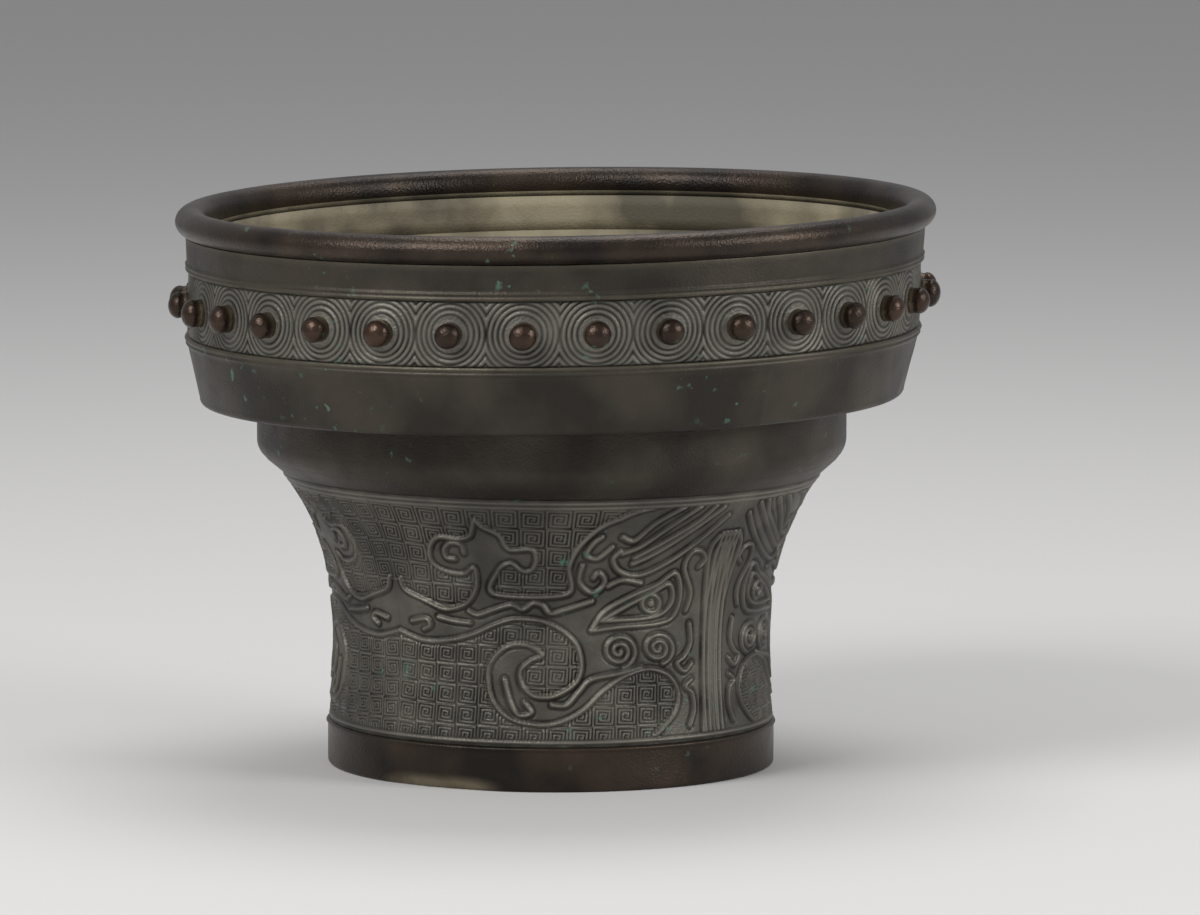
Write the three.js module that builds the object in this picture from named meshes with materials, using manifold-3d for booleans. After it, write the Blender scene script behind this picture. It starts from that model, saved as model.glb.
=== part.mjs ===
// Bronze vase: a studded drum on a flared stem, built up from stacked cast rings.
// Millimetres, +Z up, origin on the ground at the centre of the foot.
import * as THREE from "three";
import { mergeVertices } from "three/addons/utils/BufferGeometryUtils.js";
import Module from "manifold-3d";

// Driving dimensions
const mouthRadius = 110;
const lipWidth = 8.7;
const lipHeight = 8.1;
const lipOverhang = 3;
const wall = 5;
const rimHeight = 10.2;
const rimTaper = 0.6;
const bandHeight = 18.7;
const bandRecess = 0.8;
const panHeight = 20;
const panTaper = 4.4;
const panCorner = 1.6;
const floorThickness = 4;
const neckRadius = 85.4;
const neckHeight = 13.2;
const shoulderHeight = 7.8;
const collarRadius = 78.3;
const stemHeight = 72.7;
const waistRadius = 62.7;
const waistAboveFoot = 21.2;
const stemFootRadius = 64.2;
const footRadius = 64.8;
const footHeight = 12.8;
const footFaceWidth = 8;
const plateThickness = 3;
const plateHeight = 6;
const threadHeight = 1.1;
const threadProud = 0.45;
const edgeRound = 0.8;

// Bosses
const bossCount = 32;
const firstBossAngle = -4.5;
const bossRadius = 4;
const bossLength = 6.4;
const shankRadius = 2.5;
const shankLength = 3.2;
const moundRadius = 7.6;
const moundStep = 0.8;
const moundSteps = 1;

// Fits
const clearance = 0.3;
const tongueHeight = 2;
const facetsPerBoss = 2;

// Curve shapes and facet counts
const flarePower = 2.6;
const footFlarePower = 1.6;
const stemRings = 9;
const lipPoints = 12;
const lipArcStart = -50;
const lipArcSweep = 240;
const bossFacets = 8;
const moundFacets = 10;

// Heights, from the ground up
const footTop = footHeight;
const stemTop = footTop + stemHeight;
const neckTop = stemTop + shoulderHeight + neckHeight;
const panTop = neckTop + panHeight;
const bandTop = panTop + bandHeight;
const rimTop = bandTop + rimHeight;
const waistZ = footTop + waistAboveFoot;

// Radii
const rimRadius = mouthRadius - lipOverhang;
const rimFootRadius = rimRadius - rimTaper;
const bandRadius = rimFootRadius - bandRecess;
const panRadius = rimFootRadius;
const panFootRadius = panRadius - panTaper;
const boreRadius = bandRadius - wall;
const facets = bossCount * facetsPerBoss;
const facetAngle = (2 * Math.PI) / facets;
const firstAngle = THREE.MathUtils.degToRad(firstBossAngle);

const bronze = { color: 0x2e2822, roughness: 0.42, metalness: 0.85 };
const darkBronze = { color: 0x262420, roughness: 0.6, metalness: 0.75 };
const wornBronze = { color: 0x3d2a1f, roughness: 0.3, metalness: 0.9 };

const wasm = await Module();
wasm.setup();

// One closed geometry with shared vertices and no slivers where a profile meets its axis
function closed(geometry) {
  const bare = geometry.clone();
  bare.deleteAttribute("normal");
  bare.deleteAttribute("uv");
  const merged = mergeVertices(bare, 1e-4);
  const from = merged.index.array;
  const kept = [];
  for (let i = 0; i < from.length; i += 3) {
    const [a, b, c] = from.slice(i, i + 3);
    if (a !== b && b !== c && c !== a) kept.push(a, b, c);
  }
  merged.setIndex(kept);
  return merged;
}

function toSolid(geometry) {
  return new wasm.Manifold(new wasm.Mesh({
    numProp: 3,
    vertProperties: Float32Array.from(geometry.attributes.position.array),
    triVerts: Uint32Array.from(geometry.index.array),
  }));
}

function fromSolid(solid) {
  const mesh = solid.getMesh();
  const geometry = new THREE.BufferGeometry();
  geometry.setAttribute("position", new THREE.BufferAttribute(mesh.vertProperties.slice(), 3));
  geometry.setIndex(Array.from(mesh.triVerts));
  return geometry;
}

// A ring turned about Z from a profile of [radius, height] that runs anticlockwise.
// Facet centres, not corners, face the bosses.
function turned(profile) {
  const points = profile.map(([r, z]) => new THREE.Vector2(r, z));
  points.push(points[0].clone());
  const start = firstAngle - facetAngle / 2;
  const geometry = new THREE.LatheGeometry(points, facets, start, 2 * Math.PI);
  geometry.rotateX(Math.PI / 2);
  return closed(geometry);
}

function piece(name, geometry, finish) {
  const shown = geometry.toNonIndexed();
  shown.computeVertexNormals();
  const mesh = new THREE.Mesh(mergeVertices(shown), new THREE.MeshStandardMaterial(finish));
  mesh.name = name;
  return mesh;
}

// The upper face of a ring: flat outside, with a tongue on its inner half
function tongueTop(inner, z, height = tongueHeight) {
  const edge = inner + wall / 2;
  return [[edge, z], [edge, z + height], [inner, z + height]];
}

// The lower face of a ring that drops over the tongue below it
function rebateFoot(inner, tongueInner, z, height = tongueHeight) {
  const edge = tongueInner + wall / 2 + clearance;
  return [[inner, z + height + clearance], [edge, z + height + clearance], [edge, z]];
}

// A thin raised line round a wall of radius r
function thread(r, z) {
  return [[r, z], [r + threadProud, z + threadHeight / 2], [r, z + threadHeight]];
}

// Outer radius of the stem: a hollow flare above the waist, a slight one below
function stemRadius(z) {
  if (z >= waistZ) {
    const rise = (z - waistZ) / (stemTop - waistZ);
    return waistRadius + (collarRadius - waistRadius) * rise ** flarePower;
  }
  const drop = (waistZ - z) / (waistZ - footTop);
  return waistRadius + (stemFootRadius - waistRadius) * drop ** footFlarePower;
}

function lipRing() {
  const middle = mouthRadius - lipWidth / 2;
  const centre = rimTop + lipHeight / 2;
  const profile = [[rimRadius, rimTop]];
  for (let i = 0; i <= lipPoints; i += 1) {
    const a = THREE.MathUtils.degToRad(lipArcStart + (lipArcSweep * i) / lipPoints);
    const r = middle + (lipWidth / 2) * Math.cos(a);
    profile.push([r, centre + (lipHeight / 2) * Math.sin(a)]);
  }
  const [, ...socketEdge] = rebateFoot(boreRadius, boreRadius, rimTop);
  return turned([...profile, ...socketEdge]);
}

function rimWall() {
  return turned([
    ...thread(rimFootRadius, bandTop),
    [rimRadius, rimTop],
    ...tongueTop(boreRadius, rimTop),
    ...rebateFoot(boreRadius, boreRadius, bandTop),
  ]);
}

// The band that carries the bosses: stepped round mounds, each with a socket for a shank
function bossBand() {
  const ring = turned([
    [bandRadius, panTop],
    [bandRadius, bandTop],
    ...tongueTop(boreRadius, bandTop),
    ...rebateFoot(boreRadius, boreRadius, panTop),
  ]);
  const mounds = [];
  const sockets = [];
  for (let i = 0; i < bossCount; i += 1) {
    mounds.push(onBand(mound(), i));
    sockets.push(onBand(socket(), i));
  }
  const joined = wasm.Manifold.union([toSolid(ring), ...mounds.map(toSolid)]);
  const cut = wasm.Manifold.union(sockets.map(toSolid));
  return fromSolid(joined.subtract(cut));
}

const bandFace = bandRadius * Math.cos(facetAngle / 2);
const moundFace = bandFace + moundStep * moundSteps;
const bossZ = panTop + bandHeight / 2;

function bossAngle(i) {
  return firstAngle + (2 * Math.PI * i) / bossCount;
}

// Small forms are turned about the Y axis with their outer end towards +Y
function small(profile, count) {
  const points = profile.map(([r, y]) => new THREE.Vector2(r, y));
  return closed(new THREE.LatheGeometry(points, count));
}

// Lays a small form on the band at boss i, its axis along the radius
function onBand(geometry, i) {
  const placed = geometry.clone();
  placed.rotateX(Math.PI);
  placed.translate(0, -bandFace, bossZ);
  placed.rotateZ(bossAngle(i));
  return placed;
}

function mound() {
  const profile = [[0, -wall / 4]];
  profile.push([moundRadius, -wall / 4]);
  for (let s = 1; s <= moundSteps; s += 1) {
    const r = moundRadius * (1 - (s - 1) / (moundSteps + 1));
    profile.push([r, moundStep * s], [r - moundStep, moundStep * s]);
  }
  profile.push([0, moundStep * moundSteps]);
  return small(profile, moundFacets);
}

function socket() {
  const r = shankRadius + clearance;
  const top = moundStep * (moundSteps + 1);
  const bottom = moundFace - bandFace - shankLength - clearance;
  return small([[0, bottom], [r, bottom], [r, top], [0, top]], bossFacets);
}

// A domed peg, a little waisted, with the shank that goes into its socket
function boss() {
  const shank = -shankLength;
  const seat = clearance;
  return small([
    [0, shank],
    [shankRadius, shank],
    [shankRadius, seat],
    [bossRadius, seat],
    [bossRadius * 0.9, bossLength * 0.42],
    [bossRadius * 0.86, bossLength * 0.62],
    [bossRadius * 0.55, bossLength * 0.93],
    [0, bossLength],
  ], bossFacets);
}

// The drum's lower part: a tapering wall and a floor with a round hole for the neck
function drumPan() {
  const hole = neckRadius - wall / 2 + clearance;
  const inside = panFootRadius - wall;
  return turned([
    [hole, neckTop],
    [panFootRadius - panCorner, neckTop],
    [panFootRadius - panCorner * 0.3, neckTop + panCorner * 0.3],
    [panFootRadius, neckTop + panCorner],
    ...thread(panRadius - threadProud, panTop - 2 * threadHeight),
    [panRadius, panTop],
    ...tongueTop(boreRadius, panTop),
    [inside, neckTop + floorThickness],
    [hole, neckTop + floorThickness],
  ]);
}

function shoulderRing() {
  const inside = neckRadius - wall;
  const turn = stemTop + shoulderHeight;
  const drop = neckRadius - collarRadius;
  return turned([
    [collarRadius, stemTop],
    [collarRadius + drop * 0.6, stemTop + shoulderHeight * 0.5],
    [collarRadius + drop * 0.9, stemTop + shoulderHeight * 0.79],
    [neckRadius, turn],
    [neckRadius, neckTop],
    ...tongueTop(inside, neckTop, floorThickness),
    [inside, turn],
    ...rebateFoot(collarRadius - wall, collarRadius - wall, stemTop),
  ]);
}

function stem() {
  const outer = [];
  const inner = [];
  for (let i = 0; i <= stemRings; i += 1) {
    const z = footTop + (stemHeight * i) / stemRings;
    outer.push([stemRadius(z), z]);
  }
  for (let i = stemRings - 1; i > 1; i -= 2) {
    const z = footTop + (stemHeight * i) / stemRings;
    inner.push([stemRadius(z) - wall, z]);
  }
  const footInner = footRadius - wall;
  return turned([
    ...outer,
    ...tongueTop(collarRadius - wall, stemTop),
    ...inner,
    ...rebateFoot(footInner, footInner, footTop),
  ]);
}

// The foot: a wide flat face on the ground, a ledge for the base plate, a raised line on top
function footRing() {
  const inside = footRadius - wall;
  const ledge = footRadius - footFaceWidth;
  return turned([
    [ledge, 0],
    [footRadius - edgeRound, 0],
    [footRadius, edgeRound],
    ...thread(footRadius, footTop - 2 * threadHeight),
    [footRadius, footTop],
    ...tongueTop(inside, footTop),
    [inside, plateHeight],
    [ledge, plateHeight],
  ]);
}

function basePlate() {
  const radius = footRadius - wall - clearance;
  const profile = [[0, plateHeight], [radius, plateHeight]];
  profile.push([radius, plateHeight + plateThickness], [0, plateHeight + plateThickness]);
  const points = profile.map(([r, z]) => new THREE.Vector2(r, z));
  const start = firstAngle - facetAngle / 2;
  const geometry = new THREE.LatheGeometry(points, facets, start, 2 * Math.PI);
  geometry.rotateX(Math.PI / 2);
  return closed(geometry);
}

const vase = new THREE.Group();
vase.add(piece("lip_ring", lipRing(), wornBronze));
vase.add(piece("rim_wall", rimWall(), bronze));
vase.add(piece("boss_band", bossBand(), darkBronze));
vase.add(piece("drum_pan", drumPan(), bronze));
vase.add(piece("shoulder_ring", shoulderRing(), bronze));
vase.add(piece("stem", stem(), darkBronze));
vase.add(piece("foot_ring", footRing(), bronze));
vase.add(piece("base_plate", basePlate(), darkBronze));

// Each boss hangs in its own turned group and is pushed into its socket
for (let i = 0; i < bossCount; i += 1) {
  const turn = new THREE.Group();
  turn.rotation.z = bossAngle(i);
  const label = String(i + 1).padStart(2, "0");
  const peg = piece(`boss_${label}`, boss(), wornBronze);
  peg.rotation.x = Math.PI;
  peg.position.set(0, -moundFace, bossZ);
  turn.add(peg);
  vase.add(turn);
}

export default vase;
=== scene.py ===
"""Bronze vase: a studded drum with a round lip, on a flared stem with two masks. Sizes in millimetres."""
import math
import bpy
import numpy as np
from mathutils import Matrix, Vector


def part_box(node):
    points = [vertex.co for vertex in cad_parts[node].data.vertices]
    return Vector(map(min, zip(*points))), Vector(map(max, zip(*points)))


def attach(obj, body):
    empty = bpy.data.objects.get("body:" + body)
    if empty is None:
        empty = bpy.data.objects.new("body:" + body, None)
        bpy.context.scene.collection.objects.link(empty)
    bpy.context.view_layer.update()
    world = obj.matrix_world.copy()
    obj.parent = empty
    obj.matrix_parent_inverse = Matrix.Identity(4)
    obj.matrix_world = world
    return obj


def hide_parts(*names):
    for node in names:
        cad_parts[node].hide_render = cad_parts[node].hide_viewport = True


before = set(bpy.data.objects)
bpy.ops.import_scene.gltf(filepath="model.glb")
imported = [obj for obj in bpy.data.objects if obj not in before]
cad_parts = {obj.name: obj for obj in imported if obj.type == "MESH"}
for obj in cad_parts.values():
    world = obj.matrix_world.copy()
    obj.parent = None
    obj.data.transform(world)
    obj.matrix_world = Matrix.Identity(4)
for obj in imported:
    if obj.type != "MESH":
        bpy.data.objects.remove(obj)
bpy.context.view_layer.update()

MM = 0.001

# Camera, fitted to the rings of the vase
VIEW_DISTANCE = 3200.0
VIEW_PITCH = math.radians(6.75)
VIEW_ROLL = math.radians(0.2)
AIM_X = 14.0
AIM_Z = 88.7
FOCAL_PX = 11032.0
FRAME_W, FRAME_H = 1200, 915
PX_PER_MM = FOCAL_PX / VIEW_DISTANCE

# Real sizes in millimetres, as in the CAD
WALL = 5.0
LIP_R = 110.0
LIP_WIDTH = 8.7
LIP_HEIGHT = 8.1
LIP_OVERHANG = 3.0
RIM_TAPER = 0.6
RIM_HEIGHT = 10.2
BAND_HEIGHT = 18.7
BAND_RECESS = 0.8
PAN_HEIGHT = 20.0
PAN_TAPER = 4.4
FLOOR_THICKNESS = 4.0
NECK_R = 85.4
COLLAR_R = 78.3
SHOULDER_HEIGHT = 7.8
NECK_DROP = 21.0
WAIST_R = 62.7
WAIST_ABOVE_FOOT = 21.2
FOOT_FLARE = 1.5
FLARE_POWER = 2.6
FOOT_FLARE_POWER = 1.6
FOOT_R = 64.8
FOOT_FACE = 8.0
PLATE_HEIGHT = 6.0
TONGUE = 2.0
BOSSES = 32
FIRST_BOSS = math.radians(-4.5)
BOSS_RADIUS = 4.0
BOSS_LENGTH = 6.4
PEG_SIDES = 40
NOSE_ANGLE = math.radians(47.0)
NOISE_WAVES = 14

# Faults of this casting
DRUM_LEAN = math.radians(1.05)
CAST_LINE = math.radians(35.4)
CHIP_ANGLE = math.radians(-30)

# Relief, in millimetres
THREAD_HEIGHT = 0.5
THREAD_WIDTH = 0.45
BOSS_RING_PITCH = 1.55
BOSS_RING_START = 4.9
BOSS_RING_PEAK = 6.2
BOSS_RING_HEIGHT = 0.42
BOSS_MOUND_HEIGHT = 1.0
BOSS_MOUND_R = 5.6
GROUND_HEIGHT = 0.42
BODY_HEIGHT = 0.28
RIDGE_HEIGHT = 0.75
RIDGE_WIDTH = 0.55
GROOVE_DEPTH = 0.28
GROOVE_PLACE = 1.15
GROOVE_WIDTH = 0.4
RIB_PITCH = 1.7
NOSE_HALF_WIDTH = 4.4
NOSE_BELOW_TOP = 12.0
CELL_COUNT = 60
CELL_HEIGHT = 5.8


def node_top(name):
    """Height of the top of a CAD node, in millimetres."""
    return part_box(name)[1][2] / MM


# Heights and radii that follow from those sizes and from the frame
FOOT_TOP = node_top("foot_ring") - TONGUE
LIP_TOP = node_top("lip_ring")
RIM_TOP = LIP_TOP - LIP_HEIGHT
BAND_TOP = RIM_TOP - RIM_HEIGHT
PAN_TOP = BAND_TOP - BAND_HEIGHT
NECK_TOP = PAN_TOP - PAN_HEIGHT
STEM_TOP = NECK_TOP - NECK_DROP
WAIST_Z = FOOT_TOP + WAIST_ABOVE_FOOT
BAND_MIDDLE = (PAN_TOP + BAND_TOP) / 2
RIM_R = LIP_R - LIP_OVERHANG
RIM_FOOT_R = RIM_R - RIM_TAPER
BAND_R = RIM_FOOT_R - BAND_RECESS
PAN_FOOT_R = RIM_FOOT_R - PAN_TAPER
BORE_R = BAND_R - WALL


def stem_radius(z):
    """Outer radius of the stem at height z, in millimetres."""
    rise = np.clip((z - WAIST_Z) / (STEM_TOP - WAIST_Z), 0, 1)
    drop = np.clip((WAIST_Z - z) / (WAIST_Z - FOOT_TOP), 0, 1)
    flare = (COLLAR_R - WAIST_R) * rise ** FLARE_POWER
    return WAIST_R + flare + FOOT_FLARE * drop ** FOOT_FLARE_POWER


def smooth_noise(phi, z, seed, scale):
    """A seeded sum of waves round the vase, from -1 to 1."""
    rng = np.random.default_rng(seed)
    total = np.zeros(np.broadcast(phi, z).shape)
    for _ in range(NOISE_WAVES):
        turns = rng.integers(2, 2 + int(60 / scale))
        rise = rng.normal() / scale
        total = total + np.sin(turns * phi + rise * z + rng.uniform(0, 2 * math.pi))
    return total / NOISE_WAVES


def turn_from(phi, at):
    """Signed angle from one direction round the vase to another."""
    return (phi - at + math.pi) % (2 * math.pi) - math.pi


def cast_line(phi):
    """The mould seam that was left standing on the drum's right-hand side."""
    return 0.3 * np.exp(-(turn_from(phi, CAST_LINE) * BAND_R / 0.45) ** 2)


def leaned(points):
    """The drum sits a little askew on its neck: higher on the right, and off centre towards it."""
    rise = np.clip((points[:, 2] - STEM_TOP) / (NECK_TOP - STEM_TOP), 0, 1)
    rise = rise * rise * (3 - 2 * rise)
    moved = points.copy()
    moved[:, 2] += points[:, 0] * math.tan(DRUM_LEAN) * rise
    moved[:, 0] += np.maximum(points[:, 2] - NECK_TOP, 0) * math.sin(DRUM_LEAN)
    return moved


# Materials

def bronze(name, dark, light, recess, roughness, fleck_colour):
    """Patinated bronze: mottled metal, another colour in the recesses, and small flecks. A recess colour
    lighter than the metal is dust; the carved bronze's near-black one is painted shade.
    """
    material = bpy.data.materials.new(name)
    material.use_nodes = True
    nodes, links = material.node_tree.nodes, material.node_tree.links
    shader = nodes["Principled BSDF"]
    shader.inputs["Metallic"].default_value = 0.72
    place = nodes.new("ShaderNodeTexCoord").outputs["Object"]

    def noise(scale, detail=6.0):
        node = nodes.new("ShaderNodeTexNoise")
        node.inputs["Scale"].default_value = scale
        node.inputs["Detail"].default_value = detail
        links.new(place, node.inputs["Vector"])
        return node.outputs["Fac"]

    def ramp(source, low, high):
        node = nodes.new("ShaderNodeMapRange")
        node.inputs["From Min"].default_value = low
        node.inputs["From Max"].default_value = high
        links.new(source, node.inputs["Value"])
        return node.outputs["Result"]

    def mix(factor, first, second):
        node = nodes.new("ShaderNodeMix")
        node.data_type = "RGBA"
        links.new(factor, node.inputs[0])
        for socket, value in ((node.inputs[6], first), (node.inputs[7], second)):
            if isinstance(value, tuple):
                socket.default_value = (*value, 1)
            else:
                links.new(value, socket)
        return node.outputs[2]

    def times(first, second):
        node = nodes.new("ShaderNodeMath")
        node.operation = "MULTIPLY"
        links.new(first, node.inputs[0])
        links.new(second, node.inputs[1])
        return node.outputs[0]

    mottle = ramp(noise(38), 0.38, 0.62)
    base = mix(mottle, dark, light)
    relief = nodes.new("ShaderNodeAttribute")
    relief.attribute_name = "hollow"
    patchy = ramp(noise(120), 0.25, 0.6)
    # Share of the recess colour: dust in the lighter bronzes, painted shade in the carved one.
    dust_and_shade = times(ramp(relief.outputs["Fac"], 0.1, 0.9), ramp(patchy, -0.9, 1.0))
    colour = mix(dust_and_shade, base, recess)
    fleck = times(ramp(noise(260, 3.0), 0.66, 0.72), ramp(noise(22), 0.5, 0.6))
    colour = mix(fleck, colour, fleck_colour)
    links.new(colour, shader.inputs["Base Color"])
    wear = nodes.new("ShaderNodeMapRange")
    wear.inputs["To Min"].default_value = roughness - 0.1
    wear.inputs["To Max"].default_value = roughness + 0.14
    links.new(noise(90), wear.inputs["Value"])
    links.new(wear.outputs["Result"], shader.inputs["Roughness"])
    bump = nodes.new("ShaderNodeBump")
    bump.inputs["Strength"].default_value = 0.4
    bump.inputs["Distance"].default_value = 0.0005
    links.new(noise(1500, 3.0), bump.inputs["Height"])
    links.new(bump.outputs["Normal"], shader.inputs["Normal"])
    return material


GREEN = (0.10, 0.19, 0.14)
BEIGE = (0.20, 0.17, 0.115)
POLISHED = bronze(
    "polished_bronze", (0.020, 0.015, 0.012), (0.058, 0.041, 0.029), BEIGE, 0.34, GREEN
)
PEG = bronze(
    "peg_bronze", (0.020, 0.014, 0.011), (0.062, 0.038, 0.025), (0.15, 0.12, 0.08), 0.28, GREEN
)
PLAIN = bronze(
    "plain_bronze", (0.030, 0.026, 0.021), (0.062, 0.052, 0.040), (0.13, 0.115, 0.085), 0.44, GREEN
)
# The carved bronze's near-black recess colour is painted shade in the grooves and troughs of the band and
# stem relief.
CARVED = bronze(
    "carved_bronze", (0.120, 0.113, 0.098), (0.190, 0.178, 0.150), (0.011, 0.010, 0.008), 0.46, GREEN
)
INSIDE = bronze(
    "inside_patina", (0.11, 0.095, 0.065), (0.31, 0.27, 0.18), BEIGE, 0.72, (0.04, 0.035, 0.028)
)
INSIDE.node_tree.nodes["Principled BSDF"].inputs["Metallic"].default_value = 0.1


# Meshes

def make_piece(name, points, faces, hollow, inner, finish, replaced):
    """One object from points in millimetres; faces flagged inner take the inside patina."""
    mesh = bpy.data.meshes.new(name)
    mesh.from_pydata((leaned(points) * MM).tolist(), [], faces)
    mesh.materials.append(finish)
    mesh.materials.append(INSIDE)
    mesh.polygons.foreach_set("material_index", np.asarray(inner, dtype=np.int32))
    mesh.polygons.foreach_set("use_smooth", np.ones(len(faces), dtype=bool))
    layer = mesh.attributes.new("hollow", "FLOAT", "POINT")
    layer.data.foreach_set("value", np.asarray(hollow, dtype=np.float32).ravel())
    mesh.update()
    piece = bpy.data.objects.new(name, mesh)
    bpy.context.scene.collection.objects.link(piece)
    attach(piece, "root")
    if replaced:
        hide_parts(*replaced)
    return piece


def ring_faces(columns, rows, wrap):
    """Quads of a grid whose rows close on themselves, and whose columns may."""
    faces = []
    for i in range(columns if wrap else columns - 1):
        a, b = i * rows, ((i + 1) % columns) * rows
        for j in range(rows):
            k = (j + 1) % rows
            faces.append((a + j, b + j, b + k, a + k))
    return faces


def turned(name, outer, inner, finish, replaced, columns=512, relief=None, wobble=0.12):
    """A ring from outer profile points going up and inner points going down."""
    profile = np.array(outer + inner, dtype=float)
    rows = len(profile)
    phi = FIRST_BOSS + np.linspace(0, 2 * math.pi, columns, endpoint=False)
    r = np.repeat(profile[None, :, 0], columns, 0)
    z = np.repeat(profile[None, :, 1], columns, 0)
    outside = np.arange(rows) < len(outer)
    r = r + wobble * smooth_noise(phi[:, None], z, 5, 12) * outside
    hollow = np.zeros_like(r)
    if relief is not None:
        height, hollow = relief(phi[:, None] + 0 * z, z)
        r = r + height * outside
        hollow = hollow * outside
    points = np.stack([r * np.sin(phi)[:, None], -r * np.cos(phi)[:, None], z], -1)
    faces = ring_faces(columns, rows, True)
    flags = np.tile((np.arange(rows) >= len(outer)).astype(int), columns)
    return make_piece(name, points.reshape(-1, 3), faces, hollow, flags, finish, replaced)


def line(a, b, steps):
    return [tuple(p) for p in np.linspace(a, b, steps)]


def arc(centre, radii, start, stop, steps):
    angles = np.radians(np.linspace(start, stop, steps))
    return [(centre[0] + radii[0] * math.cos(t), centre[1] + radii[1] * math.sin(t)) for t in angles]


def threads(z, lines):
    """Height of raised lines at the given heights."""
    return sum(THREAD_HEIGHT * np.exp(-((z - at) / THREAD_WIDTH) ** 2) for at in lines)


def make_lip():
    half = (LIP_WIDTH / 2, LIP_HEIGHT / 2)
    middle = (LIP_R - half[0], RIM_TOP + half[1])
    bead = arc(middle, half, -80, 168, 30)
    under = [(RIM_R - WALL - 1.3, RIM_TOP + 1.5), (RIM_R - WALL, RIM_TOP)]
    turned("lip", [(RIM_R - 1, RIM_TOP)] + bead, under, POLISHED, ["lip_ring"], wobble=0.35)


def make_rim():
    def relief(phi, z):
        height = threads(z, [BAND_TOP + 0.7, BAND_TOP + 2.0])
        near = np.exp(-(z - BAND_TOP) / 1.6) + np.exp(-(RIM_TOP - z) / 1.0)
        return height, np.clip(near, 0, 1) * 0.8
    outer = line((RIM_FOOT_R, BAND_TOP), (RIM_R, RIM_TOP), 40)
    inner = line((BORE_R, RIM_TOP), (BORE_R, BAND_TOP), 4)
    turned("rim", outer, inner, PLAIN, ["rim_wall"], relief=relief)


def make_band():
    """The studded field: ridged rings round every boss, meeting midway between them."""
    pitch = 2 * math.pi / BOSSES

    def relief(phi, z):
        across = ((phi - FIRST_BOSS + pitch / 2) % pitch - pitch / 2) * BAND_R
        uneven = 0.25 * smooth_noise(phi, z, 9, 20)
        distance = np.hypot(across, z - BAND_MIDDLE + uneven)
        mound = BOSS_MOUND_HEIGHT * np.exp(-(distance / BOSS_MOUND_R) ** 4)
        turns = (distance - BOSS_RING_PEAK) / BOSS_RING_PITCH
        wave = 0.5 + 0.5 * np.cos(2 * math.pi * turns)
        rings = BOSS_RING_HEIGHT * wave * (distance > BOSS_RING_START)
        edge = np.minimum(z - PAN_TOP, BAND_TOP - z)
        fade = np.clip(edge / 0.8, 0, 1)
        height = (mound + rings) * fade
        # In the carved bronze this paints near-black shade in the troughs between the boss rings and
        # along the band's top and bottom edges.
        hollow = np.clip(1.0 - wave * 1.1, 0, 1) * (distance > 4.2)
        return height + cast_line(phi), np.maximum(hollow, 1 - fade) * 0.95
    outer = line((BAND_R, PAN_TOP), (BAND_R, BAND_TOP), 56)
    inner = line((BORE_R, BAND_TOP), (BORE_R, PAN_TOP), 4)
    turned("band", outer, inner, CARVED, ["boss_band"], columns=1568, relief=relief)


def make_bosses():
    """Domed pegs with their shanks, each a little off its place and size."""
    rng = np.random.default_rng(3)
    for k in range(BOSSES):
        phi = FIRST_BOSS + 2 * math.pi * k / BOSSES
        lean = rng.normal(0, 0.12, 2)
        size = 1 + rng.normal(0, 0.03)
        low = [(BOSS_RADIUS * size, 0.3), (3.75 * size, 1.6), (3.65 * size, 2.9)]
        dome = [(3.85 * size * math.cos(t), 3.4 + (BOSS_LENGTH - 3.4) * math.sin(t))
                for t in np.radians(np.linspace(0, 84, 9))]
        profile = np.array([(2.4, -2.8), (2.4, 0.3)] + low + dome)
        turn = np.linspace(0, 2 * math.pi, PEG_SIDES, endpoint=False)
        out = BAND_R + profile[None, :, 1] + 0 * turn[:, None]
        side = profile[None, :, 0] * np.cos(turn)[:, None] + lean[0]
        up = profile[None, :, 0] * np.sin(turn)[:, None] + lean[1] + BAND_MIDDLE
        x = out * math.sin(phi) + side * math.cos(phi)
        y = -out * math.cos(phi) + side * math.sin(phi)
        points = np.stack([x, y, up], -1).reshape(-1, 3)
        rows = len(profile)
        faces = []
        for i in range(PEG_SIDES):
            a, b = i * rows, ((i + 1) % PEG_SIDES) * rows
            faces += [(a + j, a + j + 1, b + j + 1, b + j) for j in range(rows - 1)]
        faces.append(tuple(i * rows for i in range(PEG_SIDES)))
        faces.append(tuple(i * rows + rows - 1 for i in reversed(range(PEG_SIDES))))
        hollow = np.tile((profile[:, 1] < 2.2) * 0.8, PEG_SIDES)
        make_piece(f"peg_{k + 1:02d}", points, faces, hollow, [0] * len(faces), PEG,
                   [f"boss_{k + 1:02d}"])


def make_pan():
    def relief(phi, z):
        height = threads(z, [PAN_TOP - 0.7, PAN_TOP - 2.1])
        scratch = 0.05 * smooth_noise(phi, z, 21, 1.5)
        return height + scratch + cast_line(phi), np.clip(np.exp(-(PAN_TOP - z) / 2.0), 0, 1) * 0.8
    corner = arc((PAN_FOOT_R - 1.8, NECK_TOP + 1.8), (1.8, 1.8), -90, 0, 8)
    outer = [(NECK_R - 2.2, NECK_TOP), (NECK_R + 6, NECK_TOP)] + corner
    outer += line((PAN_FOOT_R + 0.15, NECK_TOP + 2.6), (RIM_FOOT_R, PAN_TOP), 60)
    inner = [(BORE_R, PAN_TOP), (PAN_FOOT_R - WALL, NECK_TOP + FLOOR_THICKNESS + 2)]
    floor_z = NECK_TOP + FLOOR_THICKNESS
    inner += [(PAN_FOOT_R - WALL - 2, floor_z), (NECK_R - 2.2, floor_z)]
    turned("pan", outer, inner, PLAIN, ["drum_pan"], columns=640, relief=relief)


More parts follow.
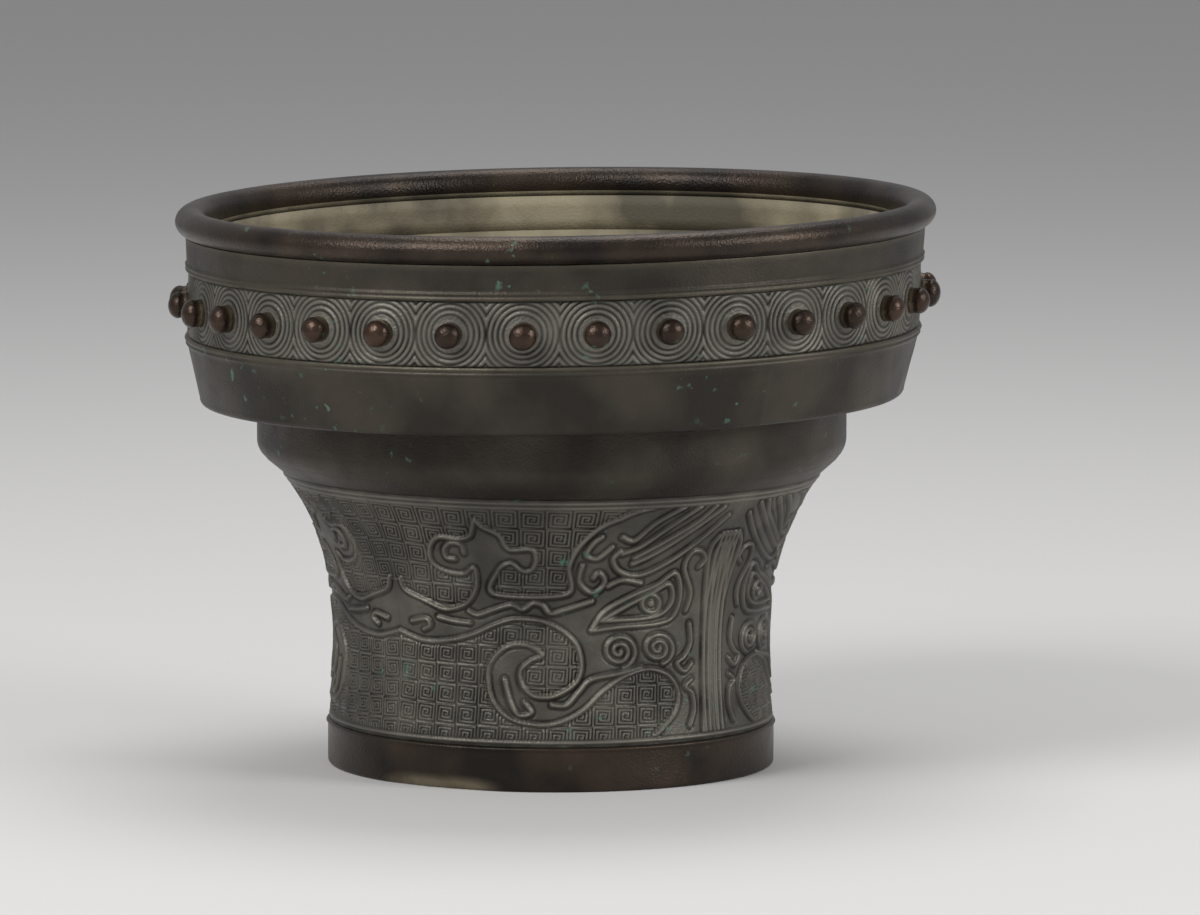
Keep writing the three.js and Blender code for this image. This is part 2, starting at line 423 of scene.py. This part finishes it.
def make_shoulder():
    turn_z = STEM_TOP + SHOULDER_HEIGHT
    spigot_top = NECK_TOP + FLOOR_THICKNESS
    roll = arc((NECK_R - 5.5, turn_z + 1.5), (5.5, 6.0), -50, 0, 12)
    outer = line((COLLAR_R, STEM_TOP), (roll[0][0] - 0.6, roll[0][1] - 0.8), 6) + roll
    outer += line((NECK_R, turn_z + 2), (NECK_R, NECK_TOP), 8)
    inner = [(NECK_R - 2.5, NECK_TOP), (NECK_R - 2.5, spigot_top), (NECK_R - WALL, spigot_top)]
    inner += [(NECK_R - WALL, turn_z), (COLLAR_R - WALL, STEM_TOP)]
    turned("shoulder", outer, inner, PLAIN, ["shoulder_ring"], wobble=0.25)


def make_foot():
    def relief(phi, z):
        height = threads(z, [FOOT_TOP - 0.6])
        chip = np.exp(-(turn_from(phi, CHIP_ANGLE) / 0.26) ** 4) * np.exp(-((z - 0.3) / 2.6) ** 2)
        rough = 0.6 + 0.4 * smooth_noise(phi * 6, z, 31, 2)
        return height - 1.7 * chip * rough, np.clip(chip * 1.4, 0, 1)
    outer = [(FOOT_R - 7.5, 0.0)] + arc((FOOT_R - 1.0, 1.0), (1.0, 1.0), -90, 0, 6)
    outer += line((FOOT_R, 1.6), (FOOT_R, FOOT_TOP), 36)
    inner = [(FOOT_R - WALL, FOOT_TOP), (FOOT_R - WALL, PLATE_HEIGHT)]
    inner.append((FOOT_R - FOOT_FACE, PLATE_HEIGHT))
    turned("foot", outer, inner, POLISHED, ["foot_ring"], columns=720, relief=relief)


# The mask: strokes drawn in picture coordinates, laid on the stem

MASK_OUTLINE = [
    (398, 580), (404, 577), (410, 589), (430, 599), (450, 607), (470, 601), (479, 585), (477, 567),
    (466, 573), (446, 569), (434, 558), (434, 544), (442, 536), (462, 538), (473, 534), (477, 520),
    (485, 526), (501, 534), (511, 548), (533, 548), (538, 558), (533, 569), (523, 569), (513, 562),
    (501, 569), (497, 592), (567, 592), (570, 565), (580, 545), (600, 527), (622, 517), (640, 510),
    (690, 498), (760, 490), (760, 735), (655, 731), (663, 723), (675, 707), (677, 688), (667, 672),
    (647, 666), (623, 674), (604, 688), (584, 707), (560, 719), (537, 721), (513, 715), (497, 700),
    (491, 680), (493, 660), (509, 644), (529, 642), (544, 652), (533, 658), (523, 668), (525, 682),
    (536, 692), (556, 692), (576, 680), (582, 664), (578, 644), (564, 629), (544, 619), (517, 617),
    (497, 623), (477, 632), (454, 638), (426, 638), (398, 626),
]
STROKES = {
    "horn_edge": [(620, 550), (613, 558), (620, 570), (639, 573), (667, 560), (698, 538), (726, 514)],
    "horn_line_low": [(632, 562), (655, 551), (690, 529), (722, 506)],
    "horn_line_middle": [(634, 556), (660, 542), (695, 521), (715, 504)],
    "horn_line_high": [(622, 552), (640, 545), (668, 526), (700, 505)],
    "horn_tip": [(622, 536), (634, 539), (655, 522), (685, 505)],
    "eye_outer": [
        (592, 628), (605, 609), (630, 594), (655, 583), (674, 571), (679, 590), (672, 613),
        (655, 621), (620, 624), (592, 628),
    ],
    "eye_inner": [
        (602, 618), (625, 604), (650, 591), (668, 582), (671, 598), (660, 611), (640, 616),
        (602, 618),
    ],
    "brow_hook": [(684, 608), (689, 590), (683, 566), (690, 551), (700, 550), (703, 558), (697, 565)],
    "crest_hook": [(602, 536), (593, 543), (587, 554), (598, 557), (612, 546)],
    "ear_curl": [(583, 564), (580, 580), (590, 590), (600, 587), (605, 578), (599, 571), (594, 576)],
    "ear_leaf": [(608, 584), (622, 578), (640, 581)],
    "upper_curl": [(458, 558), (450, 556), (448, 548), (454, 542), (464, 544), (467, 552)],
    "body_upper_wave": [
        (472, 609), (481, 613), (493, 609), (513, 603), (525, 607), (535, 601), (544, 603),
        (552, 611), (568, 607), (592, 599),
    ],
    "body_hook": [(416, 619), (430, 617), (434, 623), (428, 627)],
    "body_dash": [(442, 615), (458, 619), (473, 621)],
    "tail_hook": [(527, 699), (533, 709), (521, 711), (513, 699), (507, 676)],
    "jaw_line": [(554, 701), (568, 701), (580, 688), (592, 676), (619, 670), (640, 664)],
    "cheek_hook": [(688, 621), (689, 640), (683, 653), (676, 660), (683, 668), (690, 660)],
    "jaw_hook": [(690, 676), (684, 683), (691, 690), (693, 706), (689, 722)],
    "nose_side_outer": [(703, 728), (702, 640), (706, 560), (716, 536), (728, 532)],
    "nose_side_middle": [(709, 729), (708, 640), (712, 560), (719, 542)],
    "nose_side_inner": [(715, 729), (714, 640), (718, 560), (724, 540)],
}
OUTER_CHEEK = (619, 648)
INNER_CHEEK = (657, 645)
SPIRALS = [(OUTER_CHEEK, 17), (INNER_CHEEK, 16)]
SPIRAL_SWEEP = 4.4 * math.pi
PUPIL = (650, 601)
PUPIL_RINGS = (1.5, 8.5)
UPPER_EDGE = slice(1, 34)
LOWER_EDGE = slice(35, None)


def on_stem(x, y):
    """Angle and height on the stem of a point of the picture."""
    phi, z = 0.0, 50.0
    for _ in range(12):
        radius = float(stem_radius(z))
        across = (x - FRAME_W / 2) / PX_PER_MM + AIM_X
        phi = math.asin(max(-1.0, min(1.0, across / radius)))
        drop = (y - FRAME_H / 2) / PX_PER_MM
        z = AIM_Z - (drop - radius * math.cos(phi) * math.sin(VIEW_PITCH)) / math.cos(VIEW_PITCH)
    return phi, z


def curve_through(points, step=0.5):
    """Points along a Catmull-Rom curve through given ones."""
    p = np.array([points[0], *points, points[-1]], dtype=float)
    out = []
    for a, b, c, d in zip(p, p[1:], p[2:], p[3:]):
        count = max(2, int(np.hypot(*(c - b)) / step))
        t = np.linspace(0, 1, count, endpoint=False)[:, None]
        out.append(0.5 * (2 * b + (c - a) * t + (2 * a - 5 * b + 4 * c - d) * t ** 2
                          + (3 * b - a - 3 * c + d) * t ** 3))
    return np.vstack(out + [p[-1:]])


def inside(px, py, polygon):
    """Even-odd test of grid points against a polygon."""
    result = np.zeros(px.shape, dtype=bool)
    for (x0, y0), (x1, y1) in zip(polygon, polygon[1:] + polygon[:1]):
        if y0 != y1:
            crosses = (y0 > py) != (y1 > py)
            result ^= crosses & (px < (x1 - x0) * (py - y0) / (y1 - y0) + x0)
    return result


COLUMNS, ROWS = 396, 236


def panel():
    """Relief of half a mask: height in millimetres, and how much of the carved bronze's near-black recess
    colour each point takes, which paints shade into the grooves, the ground's troughs, between the nose
    ribs and on the plain borders, and darkens the mask bodies by half.
    """
    s = np.linspace(0, math.pi / 2, COLUMNS)
    z = np.linspace(FOOT_TOP, STEM_TOP, ROWS)
    S, Z = np.meshgrid(s, z, indexing="ij")
    arc_mm = S * stem_radius(Z)
    nearest = np.full(S.shape, 9.0)
    lines = [curve_through(stroke) for stroke in STROKES.values()]
    lines.append(curve_through(MASK_OUTLINE[UPPER_EDGE]))
    lines.append(curve_through(MASK_OUTLINE[LOWER_EDGE]))
    for centre, size in SPIRALS:
        t = np.linspace(0, SPIRAL_SWEEP, 160)
        grow = size * (0.12 + 0.88 * t / t[-1])
        lines.append(np.stack([centre[0] + grow * np.cos(t), centre[1] + grow * np.sin(t)], -1))
    t = np.linspace(0, 2 * math.pi, 60)
    lines += [np.stack([PUPIL[0] + k * np.cos(t), PUPIL[1] + k * np.sin(t)], -1) for k in PUPIL_RINGS]
    reach = 10
    for stroke in lines:
        for x, y in stroke:
            phi, height = on_stem(x, y)
            i = int((NOSE_ANGLE - phi) / (math.pi / 2) * (COLUMNS - 1))
            j = int((height - FOOT_TOP) / (STEM_TOP - FOOT_TOP) * (ROWS - 1))
            if not (-reach < i < COLUMNS + reach and -reach < j < ROWS + reach):
                continue
            beside = slice(max(0, i - reach), max(0, i + reach))
            window = (beside, slice(max(0, j - reach), max(0, j + reach)))
            across = (S[window] - (NOSE_ANGLE - phi)) * stem_radius(height)
            near = np.hypot(across, Z[window] - height)
            nearest[window] = np.minimum(nearest[window], near)
    outline = [on_stem(x, y) for x, y in MASK_OUTLINE]
    body = inside(NOSE_ANGLE - S, Z, outline) | (S < 0.09)
    cell = 2 * math.pi / CELL_COUNT
    a = ((S / cell) % 1) * 2 - 1
    b = (((Z - FOOT_TOP) / CELL_HEIGHT) % 1) * 2 - 1
    square = np.maximum(abs(a), abs(b))
    spiral = square * 3.2 + np.arctan2(b, a) / (2 * math.pi)
    wave = 0.5 + 0.5 * np.cos(2 * math.pi * spiral)
    free = np.clip((nearest - 0.9) / 0.5, 0, 1)
    ground = ~body * free
    height = GROUND_HEIGHT * wave * ground + BODY_HEIGHT * body
    ridge = np.exp(-(nearest / RIDGE_WIDTH) ** 2)
    groove = np.exp(-((nearest - GROOVE_PLACE) / GROOVE_WIDTH) ** 2)
    height = height + RIDGE_HEIGHT * ridge - GROOVE_DEPTH * groove
    ribs = 0.5 + 0.5 * np.cos(2 * math.pi * arc_mm / RIB_PITCH)
    nose = (arc_mm < NOSE_HALF_WIDTH) & (Z < STEM_TOP - NOSE_BELOW_TOP)
    height = np.where(nose, 0.5 + 0.45 * ribs, height)
    border = threads(Z, [FOOT_TOP + 1.4, STEM_TOP - 1.2, STEM_TOP - 2.6])
    plain = (Z < FOOT_TOP + 2.4) | (Z > STEM_TOP - 3.4)
    height = np.where(plain, border, height)
    # Painted shade: near-black in the grooves, the troughs of the ground, between the nose ribs and on
    # the plain borders off the thread crests; the mask bodies take half of it.
    hollow = np.where(body, 0.52 + 0.4 * groove, 0.15 + 0.8 * (1 - wave))
    hollow = np.where(nose, 0.9 * (1 - ribs), hollow) * (1 - ridge)
    hollow = np.where(plain, 0.75 * (1 - np.clip(border * 2, 0, 1)), hollow)
    return s, z, height, hollow


def make_stem():
    """Four closed quarters, mirrored at the nose and at the seam between the two masks."""
    s, z, height, hollow = panel()
    back = np.linspace(STEM_TOP, FOOT_TOP, 7)
    for k in range(4):
        half, mirrored = divmod(k, 2)
        sign = 1 if mirrored else -1
        order = slice(None) if mirrored else slice(None, None, -1)
        phi = (NOSE_ANGLE + half * math.pi + sign * s)[order]
        tall, shade_and_tone = height[order], hollow[order]
        r_out = stem_radius(z)[None, :] + tall
        r_in = np.repeat((stem_radius(back) - WALL + 0.2)[None, :], COLUMNS, 0)
        r = np.concatenate([r_out, r_in], 1)
        high = np.concatenate([z, back])[None, :] + 0 * r
        points = np.stack([r * np.sin(phi)[:, None], -r * np.cos(phi)[:, None], high], -1)
        rows = ROWS + len(back)
        faces = ring_faces(COLUMNS, rows, False)
        flags = list(np.tile((np.arange(rows) >= ROWS).astype(int), COLUMNS - 1))
        last = (COLUMNS - 1) * rows
        faces.append(tuple(reversed(range(rows))))
        faces.append(tuple(range(last, last + rows)))
        # This layer paints shade into the carved relief's grooves and troughs, and darkens the mask
        # bodies by half.
        shade_and_tone_layer = np.concatenate([shade_and_tone, 0 * r_in], 1)
        make_piece(f"stem_panel_{k + 1}", points.reshape(-1, 3), faces, shade_and_tone_layer, flags + [0, 0], CARVED,
                   ["stem"] if k == 0 else [])


# Stage

def plain_material(name, colour):
    material = bpy.data.materials.new(name)
    material.use_nodes = True
    shader = material.node_tree.nodes["Principled BSDF"]
    shader.inputs["Base Color"].default_value = (*colour, 1)
    shader.inputs["Roughness"].default_value = 0.9
    return material


def make_stage():
    size = 6.0
    corners = [(-size, -size, 0), (size, -size, 0), (size, size, 0), (-size, size, 0)]
    mesh = bpy.data.meshes.new("floor")
    mesh.from_pydata(corners, [], [(0, 1, 2, 3)])
    mesh.materials.append(plain_material("floor_paint", (0.62, 0.61, 0.60)))
    floor = bpy.data.objects.new("floor", mesh)
    bpy.context.scene.collection.objects.link(floor)
    world = bpy.data.worlds.new("studio")
    world.use_nodes = True
    world.node_tree.nodes["Background"].inputs["Color"].default_value = (0.72, 0.73, 0.75, 1)
    world.node_tree.nodes["Background"].inputs["Strength"].default_value = 0.45
    bpy.context.scene.world = world


def lamp(name, place, target, size, power):
    light = bpy.data.lights.new(name, "AREA")
    light.size = size
    light.energy = power
    lit = bpy.data.objects.new(name, light)
    lit.location = place
    lit.rotation_euler = (Vector(target) - Vector(place)).to_track_quat("-Z", "Y").to_euler()
    bpy.context.scene.collection.objects.link(lit)


def make_camera():
    forward = Vector((0, math.cos(VIEW_PITCH), -math.sin(VIEW_PITCH)))
    right = Vector((1, 0, 0))
    up = right.cross(forward)
    turn = Matrix((right, up, -forward)).transposed().to_4x4()
    camera = bpy.data.cameras.new("view")
    camera.sensor_width = 36
    camera.lens = 36 * FOCAL_PX / FRAME_W
    camera.clip_end = 50
    eye = bpy.data.objects.new("view", camera)
    place = Vector((AIM_X * MM, 0, AIM_Z * MM)) - forward * VIEW_DISTANCE * MM
    eye.matrix_world = Matrix.Translation(place) @ turn @ Matrix.Rotation(VIEW_ROLL, 4, "Z")
    bpy.context.scene.collection.objects.link(eye)
    bpy.context.scene.camera = eye


make_camera()
make_stage()
lamp("key", (-0.9, -0.9, 1.1), (0, 0, 0.09), 0.7, 16)
lamp("side", (1.1, -0.5, 0.6), (0, 0, 0.08), 0.5, 7)
lamp("top", (0.1, 0.5, 1.4), (0, 0, 0.1), 0.8, 9)
make_lip()
make_rim()
make_band()
make_bosses()
make_pan()
make_shoulder()
make_stem()
make_foot()
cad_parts["base_plate"].material_slots[0].material = INSIDE

bpy.context.scene.view_settings.view_transform = "Standard"
